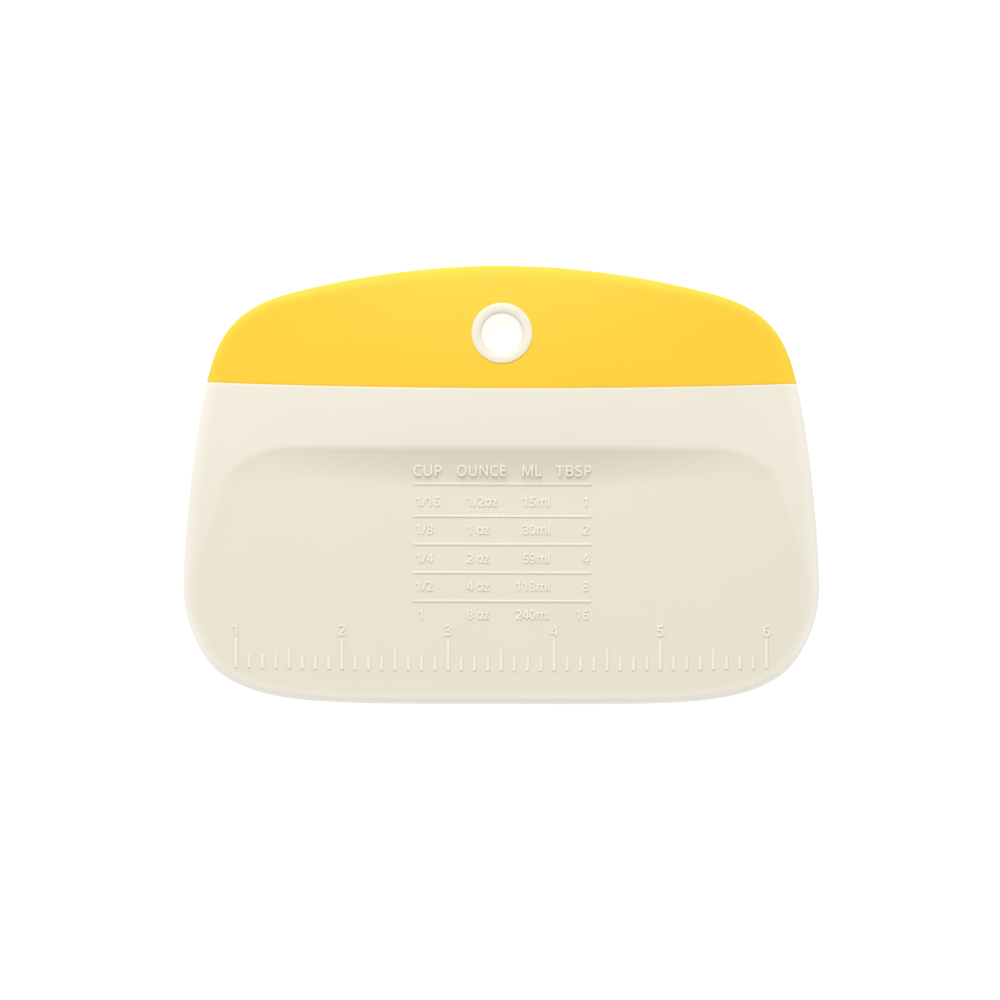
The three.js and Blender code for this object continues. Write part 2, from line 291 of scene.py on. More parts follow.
def outline_ring():
    """The whole outline, counterclockwise from the middle of the scraping edge, not closed."""
    half = []
    for (x0, y0, turn0, _, after), (x1, y1, turn1, before, _) in zip(OUTLINE_KNOTS, OUTLINE_KNOTS[1:]):
        start, end = Vector((x0, y0)), Vector((x1, y1))
        leaving = Vector((math.cos(math.radians(turn0)), math.sin(math.radians(turn0))))
        arriving = Vector((math.cos(math.radians(turn1)), math.sin(math.radians(turn1))))
        handles = start + leaving * after, end - arriving * before
        half += interpolate_bezier(start, *handles, end, CURVE_STEPS)[:-1]
    half.append(Vector(OUTLINE_KNOTS[-1][:2]))
    right = evenly_spaced(half, OUTLINE_STEP)
    left = right[::-1] * (-1, 1)
    return np.vstack([right, left[1:-1]])


def crease_line():
    """The scoop's crease from the left side's end to the right side's."""
    corner_y = sizes().crease_height - CORNER_DEEP
    turn = np.linspace(math.pi / 2, 0, CREASE_STEPS)
    corner = np.column_stack(
        [CREASE_HALF + CORNER_WIDE * np.cos(turn), corner_y + CORNER_DEEP * np.sin(turn)]
    )
    t = np.linspace(0, 1, CREASE_STEPS)[:, None]
    start, bend, end = corner[-1], np.array(CREASE_SIDE), np.array(CREASE_END)
    side = (1 - t) ** 2 * start + 2 * t * (1 - t) * bend + t**2 * end
    right = np.vstack([[(0, sizes().crease_height)], corner, side[1:]])
    return evenly_spaced(np.vstack([right[::-1] * (-1, 1), right[1:]]), OUTLINE_STEP)


def seam_y(x):
    return sizes().seam_height + SEAM_RISE * (x / SEAM_END_X) ** 2


def normals_of(points, closed):
    """Unit normals to the left of a line's direction."""
    if closed:
        ahead, behind = np.roll(points, -1, 0), np.roll(points, 1, 0)
    else:
        ahead = np.vstack([points[1:], points[-1:]])
        behind = np.vstack([points[:1], points[:-1]])
    way = ahead - behind
    left = np.column_stack([-way[:, 1], way[:, 0]])
    return left / np.linalg.norm(left, axis=1)[:, None]


def distance_to(line, points, chunk_size=2000):
    """Each point's distance to a polyline, found for a chunk of points at a time."""
    start, way = line[:-1], np.diff(line, axis=0)
    length = (way**2).sum(1)
    found = np.empty(len(points))
    for first in range(0, len(points), chunk_size):
        chunk = points[first : first + chunk_size, None]
        share = np.clip(((chunk - start) * way).sum(2) / length, 0, 1)
        away = chunk - start - share[..., None] * way
        found[first : first + chunk_size] = np.sqrt((away**2).sum(2)).min(1)
    return found


def is_inside(ring, points):
    """Whether each point lies inside a closed ring, by counting crossings."""
    inside = np.zeros(len(points), bool)
    x, y = points.T
    for (x0, y0), (x1, y1) in zip(ring, np.roll(ring, -1, 0)):
        if y0 != y1:
            crosses = (y0 > y) != (y1 > y)
            inside ^= crosses & (x < (x1 - x0) * (y - y0) / (y1 - y0) + x0)
    return inside


def smooth_step(low, high, value):
    t = np.clip((value - low) / (high - low), 0, 1)
    return t * t * (3 - 2 * t)


class Form:
    """The outer form: its lines, and the heights of its front and back over any place."""

    def __init__(self):
        self.outline = outline_ring()
        self.closed_outline = np.vstack([self.outline, self.outline[:1]])
        self.crease = crease_line()
        below = CAD_LOW.y - SCOOP_OVERRUN
        self.scoop = np.vstack([self.crease, [(CREASE_END[0], below), (-CREASE_END[0], below)]])
        self.hang = np.array([(HANG_LOW.x + HANG_HIGH.x) / 2, (HANG_LOW.y + HANG_HIGH.y) / 2])

    def floor(self, y):
        return sizes().floor_thickness - FLOOR_SLOPE * (FLOOR_TOP_Y - np.minimum(y, FLOOR_TOP_Y))

    def rise(self, x, y):
        """How far the front stands over the floor where it isn't scooped."""
        across = np.maximum(0, 1 - (x / CROWN_REACH) ** 2) ** CROWN_POWER
        crown = np.maximum(0, CROWN - CROWN_FALL * (y - CROWN_PEAK_Y) ** 2)
        return RIM_RISE * smooth_step(RIM_END_Y, FLOOR_TOP_Y, y) + crown * across

    def left_of_rise(self, points):
        """The share of the rise that the scoop leaves: all of it on the land, none on the floor."""
        cove = COVE_LEAST + COVE_PER_RISE * self.rise(*points.T)
        depth = distance_to(self.crease, points)
        depth = np.where(is_inside(self.scoop, points), depth, -depth)
        left = np.maximum(0, 1 - depth / cove) ** 2
        # Across the crease a cubic takes the level land into the cove.
        soft = CREASE_SOFTNESS
        end_value = (1 - soft / cove) ** 2
        end_slope = -2 / cove * (1 - soft / cove)
        t = np.clip((depth + soft) / (2 * soft), 0, 1)
        blend = (2 * t**3 - 3 * t**2 + 1) + (3 * t**2 - 2 * t**3) * end_value
        blend = blend + (t**3 - t**2) * 2 * soft * end_slope
        return np.where(depth <= -soft, 1.0, np.where(depth < soft, blend, left))

    def scooped(self, points):
        """The front's height with the scoop in it, before the edges are rounded."""
        x, y = points.T
        return self.floor(y) + self.rise(x, y) * self.left_of_rise(points)

    def groove(self, points):
        """The parting groove along the seam."""
        x, y = points.T
        return GROOVE_DEPTH * np.maximum(0, 1 - np.abs(y - seam_y(x)) / GROOVE_WIDTH) ** 2

    def front(self, points):
        """The finished front: rounded round the grip and sides, bevelled to the scraping edge."""
        y = points[:, 1]
        height = self.scooped(points)
        inset = distance_to(self.closed_outline, points)
        radius = np.minimum(EDGE_ROUNDING_MAX, EDGE_ROUNDING_SHARE * height)
        left = np.clip(1 - inset / (EDGE_SPREAD * radius), 0, 1) ** EDGE_EASE
        rounded = radius * (1 - np.sqrt(1 - left**2))
        bevel = np.maximum(0, 1 - inset / (BEVEL_SPREAD * sizes().bevel_width)) ** BEVEL_EASE
        bevelled = (height - sizes().edge_thickness) * bevel
        roundness = smooth_step(BEVEL_FULL_Y, BEVEL_END_Y, y)
        return height - bevelled * (1 - roundness) - rounded * roundness - self.groove(points)

    def back(self, points):
        """The flat back, with its own small rounding."""
        inset = distance_to(self.closed_outline, points)
        roundness = smooth_step(BEVEL_FULL_Y, BEVEL_END_Y, points[:, 1])
        radius = BACK_ROUNDING_AT_EDGE + (BACK_ROUNDING - BACK_ROUNDING_AT_EDGE) * roundness
        left = np.maximum(0, radius - inset)
        return radius - np.sqrt(radius**2 - left**2) + self.groove(points)

    def rows(self):
        """The lines of vertices that the form needs, each as (points, closed)."""
        inward = normals_of(self.outline, True)
        lines = [(self.outline, True)]
        lines += [(self.outline + inward * d, True) for d in EDGE_ROWS]
        into_scoop = -normals_of(self.crease, False)
        for d in ROWS_OVER_CREASE + ROWS_UNDER_CREASE:
            row = self.crease + into_scoop * d
            keep = distance_to(self.closed_outline, row) > EDGE_ROWS[-1] + CLEAR_OF_ROWS
            keep &= is_inside(self.outline, row)
            keep &= np.abs(distance_to(self.crease, row) - abs(d)) < ROW_SLACK
            lines += [(part, False) for part in unbroken(row, keep)]
        reach = SEAM_OVERRUN * SEAM_END_X
        x = evenly_spaced([(-reach, 0), (reach, 0)], OUTLINE_STEP)[:, 0]
        for d in (0, *GROOVE_ROWS, *(-g for g in GROOVE_ROWS)):
            lines.append((np.column_stack([x, seam_y(x) + d]), False))
        turn = np.linspace(0, 2 * math.pi, ROUND_STEPS, endpoint=False)
        circle = np.column_stack([np.cos(turn), np.sin(turn)])
        for d in (0, *GROOVE_ROWS):
            lines.append((self.hang + circle * (sizes().collar_radius + d), True))
        return lines


def unbroken(row, keep):
    """The stretches of a row whose points are all kept."""
    parts, part = [], []
    for point, kept in zip(row, keep):
        if kept:
            part.append(point)
        elif part:
            parts.append(part)
            part = []
    parts.append(part)
    return [np.array(p) for p in parts if len(p) > 1]


def triangulated(form):
    """The outline's flat triangulation through all rows: (points, triangles)."""
    points, edges = [], []
    for line, closed in form.rows():
        first = len(points)
        points += [Vector(p) for p in line]
        edges += [(first + k, first + k + 1) for k in range(len(line) - 1)]
        if closed:
            edges.append((first + len(line) - 1, first))
    tree = KDTree(len(points))
    for k, p in enumerate(points):
        tree.insert((p.x, p.y, 0), k)
    tree.balance()
    rise = FIELD_STEP * math.sqrt(3) / 2
    for row in range(int((CAD_HIGH.y - CAD_LOW.y) / rise)):
        y = CAD_LOW.y + row * rise
        for column in range(int((CAD_HIGH.x - CAD_LOW.x) / FIELD_STEP) + 1):
            x = CAD_LOW.x + (column + 0.5 * (row % 2)) * FIELD_STEP
            if tree.find((x, y, 0))[2] > CLEAR_OF_ROWS:
                points.append(Vector((x, y)))
    found = delaunay_2d_cdt(points, edges, [], 0, WELD_DISTANCE)
    flat = np.array([(p.x, p.y) for p in found[0]])
    return flat, np.array(found[2])


def split_form(form):
    """The blade's and the grip's share of the flat triangulation."""
    flat, triangles = triangulated(form)
    middles = flat[triangles].mean(1)
    inside = is_inside(form.outline, middles)
    holed = np.linalg.norm(middles - form.hang, axis=1) < sizes().collar_radius
    beyond = middles[:, 1] > seam_y(middles[:, 0])
    return flat, triangles[inside & ~beyond], triangles[inside & beyond & ~holed]


def plate(name, form, flat, triangles, seam_side):
    """A closed mesh piece from a share of the triangulation: front, back and the walls between."""
    used, corners = np.unique(triangles, return_inverse=True)
    corners = corners.reshape(-1, 3)
    places = flat[used]
    front, back = form.front(places), form.back(places)
    at_seam = np.abs(places[:, 1] - seam_y(places[:, 0])) < SEAM_SLACK
    places = places + np.outer(at_seam, (0, seam_side * PARTING))
    count = len(used)
    edges = np.vstack([corners[:, (0, 1)], corners[:, (1, 2)], corners[:, (2, 0)]])
    known = {tuple(e) for e in edges}
    walls = [(a + count, b + count, b, a) for a, b in edges if (b, a) not in known]
    vertices = np.vstack([np.column_stack([places, front]), np.column_stack([places, back])])
    faces = [tuple(t) for t in corners] + [tuple(t) for t in corners[:, ::-1] + count] + walls
    return new_piece(name, vertices, faces)


def new_piece(name, vertices, faces):
    """A smooth shaded object that rides on the root body."""
    mesh = bpy.data.meshes.new(name)
    mesh.from_pydata([tuple(v) for v in vertices], [], faces)
    mesh.validate()
    mesh.shade_smooth()
    mesh.set_sharp_from_angle(angle=math.radians(SHARP_ANGLE))
    piece = bpy.data.objects.new(name, mesh)
    bpy.context.scene.collection.objects.link(piece)
    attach(piece, "root")
    return piece


def revolved(name, profile, form):
    """A closed profile of (radius, height) turned round the hang hole, its top following the grip."""
    turn = np.linspace(0, 2 * math.pi, ROUND_STEPS, endpoint=False)
    profile = np.asarray(profile)
    radius, height = np.tile(profile, (ROUND_STEPS, 1)).T
    angle = np.repeat(turn, len(profile))
    places = form.hang + np.column_stack([radius * np.cos(angle), radius * np.sin(angle)])
    middle = form.scooped(form.hang[None])[0]
    share = smooth_step(COLLAR_LEVEL_END * middle, COLLAR_FOLLOW_START * middle, height)
    height = height + share * (form.scooped(places) - middle)
    n = len(profile)
    faces = []
    for step in range(ROUND_STEPS):
        here, there = step * n, (step + 1) % ROUND_STEPS * n
        faces += [(here + k, there + k, there + (k + 1) % n, here + (k + 1) % n) for k in range(n)]
    return new_piece(name, np.column_stack([places, height]), faces)


# Raised marks

def bar_points(x, y, wide, long, steps):
    """A thin bar's outline with its foot at y, split along its longer side.

    It is drawn in by the rounding that the curve's bevel adds back.
    """
    t = np.linspace(0, 1, steps)
    y = y + MARK_ROUNDING
    wide, long = wide - 2 * MARK_ROUNDING, long - 2 * MARK_ROUNDING
    if wide > long:
        low = np.column_stack([x - wide / 2 + wide * t, np.full(steps, y)])
        return np.vstack([low, low[::-1] + (0, long)])
    right = np.column_stack([np.full(steps, x + wide / 2), y + long * t])
    return np.vstack([right, right[::-1] - (wide, 0)])


def mark_curve(name):
    """A flat filled curve that bars are added to."""
    curve = bpy.data.curves.new(name, "CURVE")
    curve.dimensions = "2D"
    curve.fill_mode = "BOTH"
    return curve


def add_bar(curve, points):
    """Adds one closed outline to a flat curve."""
    count = len(points)
    spline = curve.splines.new("POLY")
    spline.points.add(count - 1)
    spline.points.foreach_set("co", np.column_stack([points, np.zeros(count), np.ones(count)]).ravel())
    spline.use_cyclic_u = True


def words(text, align, x, y, cap, tracking=1.0, levelling=0.0):
    """A line of raised lettering, centred on y, in the plain sans that comes with Blender.

    Its tops follow the face, or lie more level than it by a share.
    """
    curve = bpy.data.curves.new("words", "FONT")
    curve.body = text
    curve.align_x = align
    curve.space_character = tracking
    curve.offset = LETTER_WEIGHT - MARK_ROUNDING
    if os.path.exists(PLAIN_FONT):
        curve.font = bpy.data.fonts.load(PLAIN_FONT, check_existing=True)
        curve.size = cap / PLAIN_CAP_SHARE
    else:
        curve.size = cap / BUILT_IN_CAP_SHARE
    return curve, (x, y - cap / 2), (y, levelling)


def raised(name, form, curves):
    """One mesh piece of raised marks: rounded at the top, sunk a little and laid on the face."""
    graph = bpy.context.evaluated_depsgraph_get()
    proud = sizes().mark_height
    all_vertices, all_faces = [], []
    for curve, (x, y), (middle, levelling) in curves:
        curve.extrude = proud - MARK_ROUNDING
        curve.bevel_depth = MARK_ROUNDING
        curve.bevel_resolution = MARK_ROUNDING_STEPS
        holder = bpy.data.objects.new("holder", curve)
        bpy.context.scene.collection.objects.link(holder)
        graph.update()
        mesh = bpy.data.meshes.new_from_object(holder.evaluated_get(graph))
        first = sum(len(v) for v in all_vertices)
        found = np.empty(3 * len(mesh.vertices), np.float32)
        mesh.vertices.foreach_get("co", found)
        vertices = found.reshape(-1, 3).astype(float) + (x, y, 0)
        under = vertices[:, :2].copy()
        under[:, 1] += levelling * (middle - under[:, 1])
        vertices[:, 2] += form.front(under) + levelling * proud
        all_vertices.append(vertices)
        all_faces += [tuple(first + v for v in p.vertices) for p in mesh.polygons]
        bpy.data.objects.remove(holder)
        bpy.data.meshes.remove(mesh)
        bpy.data.curves.remove(curve)
    return new_piece(name, np.vstack(all_vertices), all_faces)


# Materials

def group_tree(name, inputs, outputs):
    """A shader node group with named sockets, and its input and output nodes."""
    tree = bpy.data.node_groups.new(name, "ShaderNodeTree")
    for label, kind, default in inputs:
        socket = tree.interface.new_socket(name=label, in_out="INPUT", socket_type=kind)
        socket.default_value = default
    for label, kind in outputs:
        tree.interface.new_socket(name=label, in_out="OUTPUT", socket_type=kind)
    return tree, tree.nodes.new("NodeGroupInput"), tree.nodes.new("NodeGroupOutput")


def add_node(tree, kind, values=None, links=None):
    """A node with its properties and socket values set, and its inputs linked."""
    node = tree.nodes.new(kind)
    for key, value in (values or {}).items():
        if isinstance(key, str) and key in node.bl_rna.properties:
            setattr(node, key, value)
        else:
            node.inputs[key].default_value = value
    for key, socket in (links or {}).items():
        tree.links.new(socket, node.inputs[key])
    return node


def math_node(tree, operation, values=None, links=None):
    """The result socket of a new Math node."""
    return add_node(tree, "ShaderNodeMath", {"operation": operation, **(values or {})}, links).outputs[0]


def moulded_grain_group():
    """The fine satin grain of a spark-eroded mould, and slow cloudiness in the plastic."""
    tree, given, out = group_tree(
        "Moulded Grain",
        [("Grain Size", "NodeSocketFloat", 0.3 * MM), ("Cloud Size", "NodeSocketFloat", 20.0 * MM)],
        [("Height", "NodeSocketFloat"), ("Cloud", "NodeSocketFloat")],
    )
    place = add_node(tree, "ShaderNodeTexCoord").outputs["Object"]
    grain_scale = math_node(tree, "DIVIDE", {0: 1.0}, {1: given.outputs["Grain Size"]})
    cloud_scale = math_node(tree, "DIVIDE", {0: 1.0}, {1: given.outputs["Cloud Size"]})
    fine = add_node(
        tree, "ShaderNodeTexNoise", {"Detail": 3.0, "Roughness": 0.6},
        {"Vector": place, "Scale": grain_scale},
    )
    cloud = add_node(
        tree, "ShaderNodeTexNoise", {"Detail": 4.0, "Roughness": 0.55, "Distortion": 0.4},
        {"Vector": place, "Scale": cloud_scale},
    )
    tree.links.new(fine.outputs["Fac"], out.inputs["Height"])
    tree.links.new(cloud.outputs["Fac"], out.inputs["Cloud"])
    return tree


def handling_wear_group():
    """Hairline scuffs that run with the strokes of use, strongest towards worn edges."""
    tree, given, out = group_tree(
        "Handling Wear",
        [("Edge", "NodeSocketFloat", 0.0), ("Amount", "NodeSocketFloat", 0.5)],
        [("Scuff", "NodeSocketFloat"), ("Polish", "NodeSocketFloat")],
    )
    place = add_node(tree, "ShaderNodeTexCoord").outputs["Object"]
    stroke = add_node(
        tree, "ShaderNodeMapping", {"Rotation": (0.0, 0.0, SCUFF_TURN), "Scale": SCUFF_SCALE},
        {"Vector": place},
    )
    hair = add_node(
        tree, "ShaderNodeTexNoise", {"Scale": 1.0, "Detail": 2.0, "Roughness": 0.5},
        {"Vector": stroke.outputs["Vector"]},
    )
    thin = add_node(
        tree, "ShaderNodeMapRange", {"From Min": 0.66, "From Max": 0.74},
        {"Value": hair.outputs["Fac"]},
    )
    patch = add_node(
        tree, "ShaderNodeTexNoise", {"Scale": SCUFF_PATCH_SCALE, "Detail": 2.0},
        {"Vector": place},
    )
    where = add_node(
        tree, "ShaderNodeMapRange", {"From Min": 0.45, "From Max": 0.65},
        {"Value": patch.outputs["Fac"]},
    )
    amount = given.outputs["Amount"]
    patchy = math_node(tree, "MULTIPLY", links={0: thin.outputs["Result"], 1: where.outputs["Result"]})
    worn = math_node(tree, "MULTIPLY", links={0: patchy, 1: amount})
    polish = math_node(tree, "MULTIPLY", links={0: given.outputs["Edge"], 1: amount})
    tree.links.new(worn, out.inputs["Scuff"])
    tree.links.new(polish, out.inputs["Polish"])
    return tree


def place_group(tree, name, make, values=None, links=None):
    """A group node in a material, whose group is made the first time it is asked for."""
    node = tree.nodes.new("ShaderNodeGroup")
    node.node_tree = bpy.data.node_groups.get(name) or make()
    for key, value in (values or {}).items():
        node.inputs[key].default_value = value
    for key, socket in (links or {}).items():
        tree.links.new(socket, node.inputs[key])
    return node


def mixed(tree, factor, under, over, blend_type="MIX"):
    """A colour socket laid over with one colour by a factor."""
    return add_node(
        tree, "ShaderNodeMix", {"data_type": "RGBA", "blend_type": blend_type, 7: (*over, 1.0)},
        {0: factor, 6: under},
    ).outputs[2]


def stored(tree, name):
    """A value that mark_edges stores on the mesh."""
    return add_node(tree, "ShaderNodeAttribute", {"attribute_name": name}).outputs["Fac"]


def moulded_material(name, colour, finish):
    """A moulded plastic: the colour clouds slightly and is painted paler where it is thin and as painted
    light at the edges and on the land, the grain breaks up the gloss, edges polish.
    """
    material = bpy.data.materials.get(name)
    if material:
        return material
    material = bpy.data.materials.new(name)
    material.use_nodes = True
    tree = material.node_tree
    shader = tree.nodes["Principled BSDF"]
    shader.inputs["IOR"].default_value = finish["ior"]
    grain = place_group(
        tree, "Moulded Grain", moulded_grain_group,
        {"Grain Size": finish["grain"], "Cloud Size": CLOUD_SIZE},
    )
    wear = place_group(
        tree, "Handling Wear", handling_wear_group,
        {"Amount": finish["wear"]}, {"Edge": stored(tree, "edge")},
    )
    dark = tuple(c * finish["cloud_dark"] for c in colour)
    light = tuple(min(1.0, c * finish["cloud_light"]) for c in colour)
    clouded = add_node(
        tree, "ShaderNodeMix", {"data_type": "RGBA", 6: (*dark, 1.0), 7: (*light, 1.0)},
        {"Factor": grain.outputs["Cloud"]},
    ).outputs[2]
    worn_colour = tuple(min(1.0, c + finish["wear_lift"]) for c in colour)
    lifted = mixed(tree, wear.outputs["Scuff"], clouded, worn_colour)
    # The land above the scoop gets a painted highlight, and the outline, the bevel and thin parts are
    # painted paler: painted light, with the thin plastic's own paler tone.
    land_highlighted = mixed(tree, stored(tree, "land"), lifted, finish["land_painted_highlight"], "MULTIPLY")
    paled_and_lit = mixed(tree, stored(tree, "pale"), land_highlighted, finish["thin_and_painted_light_colour"])
    tree.links.new(paled_and_lit, shader.inputs["Base Color"])
    rough = add_node(
        tree, "ShaderNodeMapRange",
        {"To Min": finish["rough"] - ROUGHNESS_SPREAD, "To Max": finish["rough"] + ROUGHNESS_SPREAD},
        {"Value": grain.outputs["Height"]},
    )
    polished = math_node(
        tree, "MULTIPLY_ADD", {1: -EDGE_POLISH},
        {0: wear.outputs["Polish"], 2: rough.outputs["Result"]},
    )
    tree.links.new(polished, shader.inputs["Roughness"])
    bump = add_node(
        tree, "ShaderNodeBump", {"Strength": finish["bump"], "Distance": GRAIN_DEPTH},
        {"Height": grain.outputs["Height"]},
    )
    tree.links.new(bump.outputs["Normal"], shader.inputs["Normal"])
    return material


def blade_material():
    return moulded_material("cream_polypropylene", tuple(finish().blade_colour), HARD_FINISH)


def polished_and_highlit_material(name, lift):
    """The blade's plastic where the mould is polished, which leaves it smoother, painted paler by a
    factor as a painted highlight on the raised tops.
    """
    paler = tuple(min(1.0, lift * c) for c in finish().blade_colour)
    return moulded_material(name, paler, POLISHED_FINISH)


def grip_material():
    return moulded_material("yellow_elastomer", tuple(finish().grip_colour), SOFT_FINISH)


def mark_edges(piece, form):
    """Stores where the outline is near, where the plastic is thin and where the scoop leaves it whole, as
    masks for wear and the painted paler tone.
    """
    places = np.array([v.co[:2] for v in piece.data.vertices])
    inset = distance_to(form.closed_outline, places)
    thickness = form.front(places) - form.back(places)
    edge = 1 - smooth_step(0, EDGE_REACH, inset)
    thin = 1 - smooth_step(THINNEST, THIN_END, thickness)
    x, y = places.T
    low = (1 - smooth_step(*LOW_EDGE_Y, y)) * smooth_step(*LOW_EDGE_X, np.abs(x))
    low *= 1 - smooth_step(0, LOW_EDGE_REACH, inset)
    # pale: the thin plastic's own paler tone, with painted light along the outline and on the scraping
    # edge's bevel; land: a painted highlight on the land above the scoop.
    values = {
        "edge": edge,
        "pale": np.maximum(thin, EDGE_PAINTED_LIGHT * edge + LOW_EDGE_PAINTED_LIGHT * low),
        "land": smooth_step(LAND_START, 1, form.left_of_rise(places)),
    }
    for name, value in values.items():
        attribute = piece.data.attributes.new(name, "FLOAT", "POINT")
        attribute.data.foreach_set("value", value.astype(np.float32))


def dress(piece, material, node):
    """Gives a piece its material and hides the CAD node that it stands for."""
    piece.data.materials.append(material)
    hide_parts(node)


# Add-on

class ScraperSizes(bpy.types.PropertyGroup):
    """The sizes that a user would change."""

    crease_height: FloatProperty(
        name="Crease Height", description="Where the scoop begins, above the middle",
        default=9.0 * MM, unit="LENGTH",
    )
    seam_height: FloatProperty(
        name="Seam Height", description="Where the grip meets the blade at the middle",
        default=GRIP_LOW.y - 0.4 * MM, unit="LENGTH",
    )
    floor_thickness: FloatProperty(
        name="Floor Thickness", description="Thickness of the blade at the top of the scoop",
        default=2.9 * MM, unit="LENGTH",
    )
    edge_thickness: FloatProperty(
        name="Edge Thickness", description="Thickness of the scraping edge",
        default=0.6 * MM, unit="LENGTH",
    )
    bevel_width: FloatProperty(
        name="Bevel Width", description="Width of the bevel that forms the scraping edge",
        default=1.1 * MM, unit="LENGTH",
    )
    collar_radius: FloatProperty(
        name="Collar Radius", description="Outer radius of the collar round the hang hole",
        default=7.2 * MM, unit="LENGTH",
    )
    bore_radius: FloatProperty(
        name="Bore Radius", description="Radius of the hang hole",
        default=4.9 * MM, unit="LENGTH",
    )
    mark_height: FloatProperty(
        name="Mark Height", description="How far the ruler and table stand out of the blade",
        default=0.3 * MM, unit="LENGTH",
    )
    mark_width: FloatProperty(
        name="Tick Width", description="Width of the ruler's ticks",
        default=0.8 * MM, unit="LENGTH",
    )


class ScraperFinish(bpy.types.PropertyGroup):
    """The colours that a user would change."""

    blade_colour: FloatVectorProperty(
        name="Blade Colour", description="Colour of the stiff plastic",
        subtype="COLOR", size=3, min=0.0, max=1.0, default=(0.76, 0.71, 0.585),
    )
    grip_colour: FloatVectorProperty(
        name="Grip Colour", description="Colour of the soft grip",
        subtype="COLOR", size=3, min=0.0, max=1.0, default=(0.9, 0.555, 0.018),
    )
    floor_colour: FloatVectorProperty(
        name="Floor Colour", description="Colour of the floor",
        subtype="COLOR", size=3, min=0.0, max=1.0, default=(0.52, 0.52, 0.52),
    )


def sizes():
    return bpy.context.scene.scraper_sizes


def finish():
    return bpy.context.scene.scraper_finish


class SCRAPER_OT_stage(bpy.types.Operator):
    """Lay the pale floor and set the lights and the camera."""

    bl_idname = "scraper.stage"
    bl_label = "Stage"

    def execute(self, context):
        reach = FLOOR_REACH
        mesh = bpy.data.meshes.new("floor")
        corners = [(-reach, -reach), (reach, -reach), (reach, reach), (-reach, reach)]
        mesh.from_pydata([(x, y, -FLOOR_DROP) for x, y in corners], [], [(0, 1, 2, 3)])
        floor = bpy.data.objects.new("floor", mesh)
        context.scene.collection.objects.link(floor)
        material = bpy.data.materials.new("pale_floor")
        material.use_nodes = True
        shader = material.node_tree.nodes["Principled BSDF"]
        shader.inputs["Base Color"].default_value = (*finish().floor_colour, 1.0)
        shader.inputs["Roughness"].default_value = FLOOR_ROUGHNESS
        shader.inputs["Specular IOR Level"].default_value = 0.0
        shader.inputs["Emission Color"].default_value = WHITE
        shader.inputs["Emission Strength"].default_value = FLOOR_GLOW
        mesh.materials.append(material)

        world = bpy.data.worlds.new("studio")
        context.scene.world = world
        world.use_nodes = True
        sky = world.node_tree.nodes["Background"]
        sky.inputs["Color"].default_value = WHITE
        sky.inputs["Strength"].default_value = SKY_STRENGTH
        self.add_light("key", KEY_PLACE, KEY_SIZE, KEY_POWER)

        camera = bpy.data.cameras.new("camera")
        camera.sensor_width = SENSOR_WIDTH
        camera.lens = SENSOR_WIDTH * (CAMERA_HEIGHT - FACE_HEIGHT) / FRAME_WIDTH
        holder = bpy.data.objects.new("camera", camera)
        context.scene.collection.objects.link(holder)
        middle = (CAD_LOW + CAD_HIGH) / 2
        holder.location = (middle.x + CAMERA_SHIFT[0], middle.y + CAMERA_SHIFT[1], CAMERA_HEIGHT)
        holder.rotation_euler.z = math.radians(CAMERA_ROLL)
        context.scene.camera = holder
        context.scene.view_settings.view_transform = "Standard"
        return {"FINISHED"}

    def add_light(self, name, place, size, power):
        light = bpy.data.lights.new(name, "AREA")
        light.shape = "SQUARE"
        light.size = size
        light.energy = power
        holder = bpy.data.objects.new(name, light)
        bpy.context.scene.collection.objects.link(holder)
        holder.location = place
        holder.rotation_euler = (-Vector(place)).to_track_quat("-Z", "Y").to_euler()


class SCRAPER_OT_form(bpy.types.Operator):
    """Mould the blade and the grip as one form, parted at the seam."""

    bl_idname = "scraper.form"
    bl_label = "Blade and Grip"

    def execute(self, context):
        form = Form()
        flat, blade_share, grip_share = split_form(form)
        blade = plate("blade", form, flat, blade_share, -1)
        mark_edges(blade, form)
        dress(blade, blade_material(), "blade_core")
        grip = plate("grip", form, flat, grip_share, 1)
        mark_edges(grip, form)
        dress(grip, grip_material(), "soft_grip")
        return {"FINISHED"}


class SCRAPER_OT_collar(bpy.types.Operator):
    """Turn the collar that lines the hang hole."""

    bl_idname = "scraper.collar"
    bl_label = "Hang Hole Collar"

    def execute(self, context):
        form = Form()
        outer, inner = sizes().collar_radius - PARTING, sizes().bore_radius
        top = form.scooped(form.hang[None])[0] + COLLAR_PROUD
        turn = np.linspace(0, math.pi / 2, LIP_STEPS)
        small = BACK_ROUNDING
        shoulder = np.linspace(0, 1, LIP_STEPS)
        outer_lip = [(outer - SHOULDER * u, top - SHOULDER_DROP * (1 - u) ** 2) for u in shoulder]
        inner_lip = [
            (inner + LIP_WIDE * (1 - math.sin(a)), top - LIP_DEEP * (1 - math.cos(a))) for a in turn
        ]
        inner_foot = [(inner + small - small * math.cos(a), small - small * math.sin(a)) for a in turn]
        outer_foot = [(outer - small + small * math.sin(a), small - small * math.cos(a)) for a in turn]
        walls = np.linspace(WALL_START, WALL_END, WALL_ROWS)[:, None]
        bottom_out, top_out = np.array(outer_foot[-1]), np.array(outer_lip[0])
        bottom_in, top_in = np.array(inner_foot[0]), np.array(inner_lip[-1])
        outside = bottom_out + (top_out - bottom_out) * walls
        bore = top_in + (bottom_in - top_in) * walls
        profile = np.vstack([outer_foot, outside, outer_lip, inner_lip, bore, inner_foot])
        collar = revolved("hang_collar", profile, form)
        # The collar's colour is painted paler, a painted highlight.
        dress(collar, polished_and_highlit_material("cream_collar_painted_highlight", COLLAR_PAINTED_HIGHLIGHT), "blade_core")
        return {"FINISHED"}


